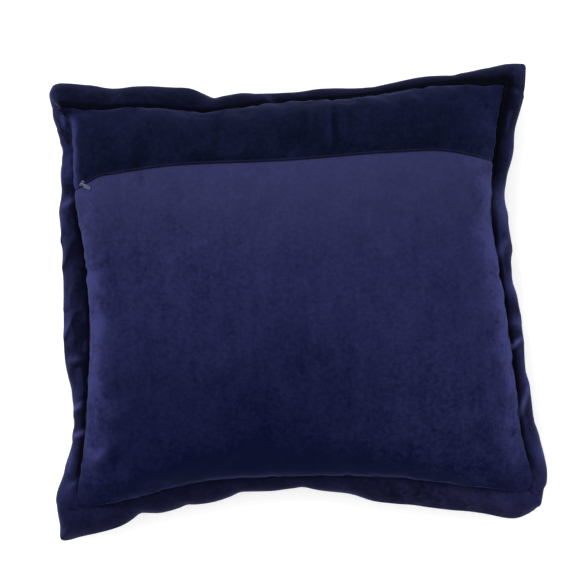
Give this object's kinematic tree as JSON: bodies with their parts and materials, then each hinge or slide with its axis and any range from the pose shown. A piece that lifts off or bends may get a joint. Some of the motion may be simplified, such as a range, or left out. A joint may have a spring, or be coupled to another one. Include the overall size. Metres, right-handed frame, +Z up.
{
  "type": "square cushion",
  "caption": "Filled square velvet cushion with a flat flange border and a zip across its back, lying on its front face.",
  "frame": {"origin": "middle of the bounding box's bottom face, on the surface that the cushion lies on", "axes": "+Z up, out of the zipped back; +Y towards the zipped end of the back; +X to the right of the back"},
  "size_m": [0.491, 0.4586, 0.1205],
  "materials": {
    "velvet": "navy cotton velvet, short pile",
    "velvet_flange": "navy cotton velvet, doubled and stitched flat",
    "zip_metal": "grey-blue enamel, satin"
  },
  "bodies": {
    "root": {"filled_body": "velvet", "flange": "velvet_flange", "zip_slider": "zip_metal", "zip_pull": "zip_metal"}
  },
  "joints": []
}
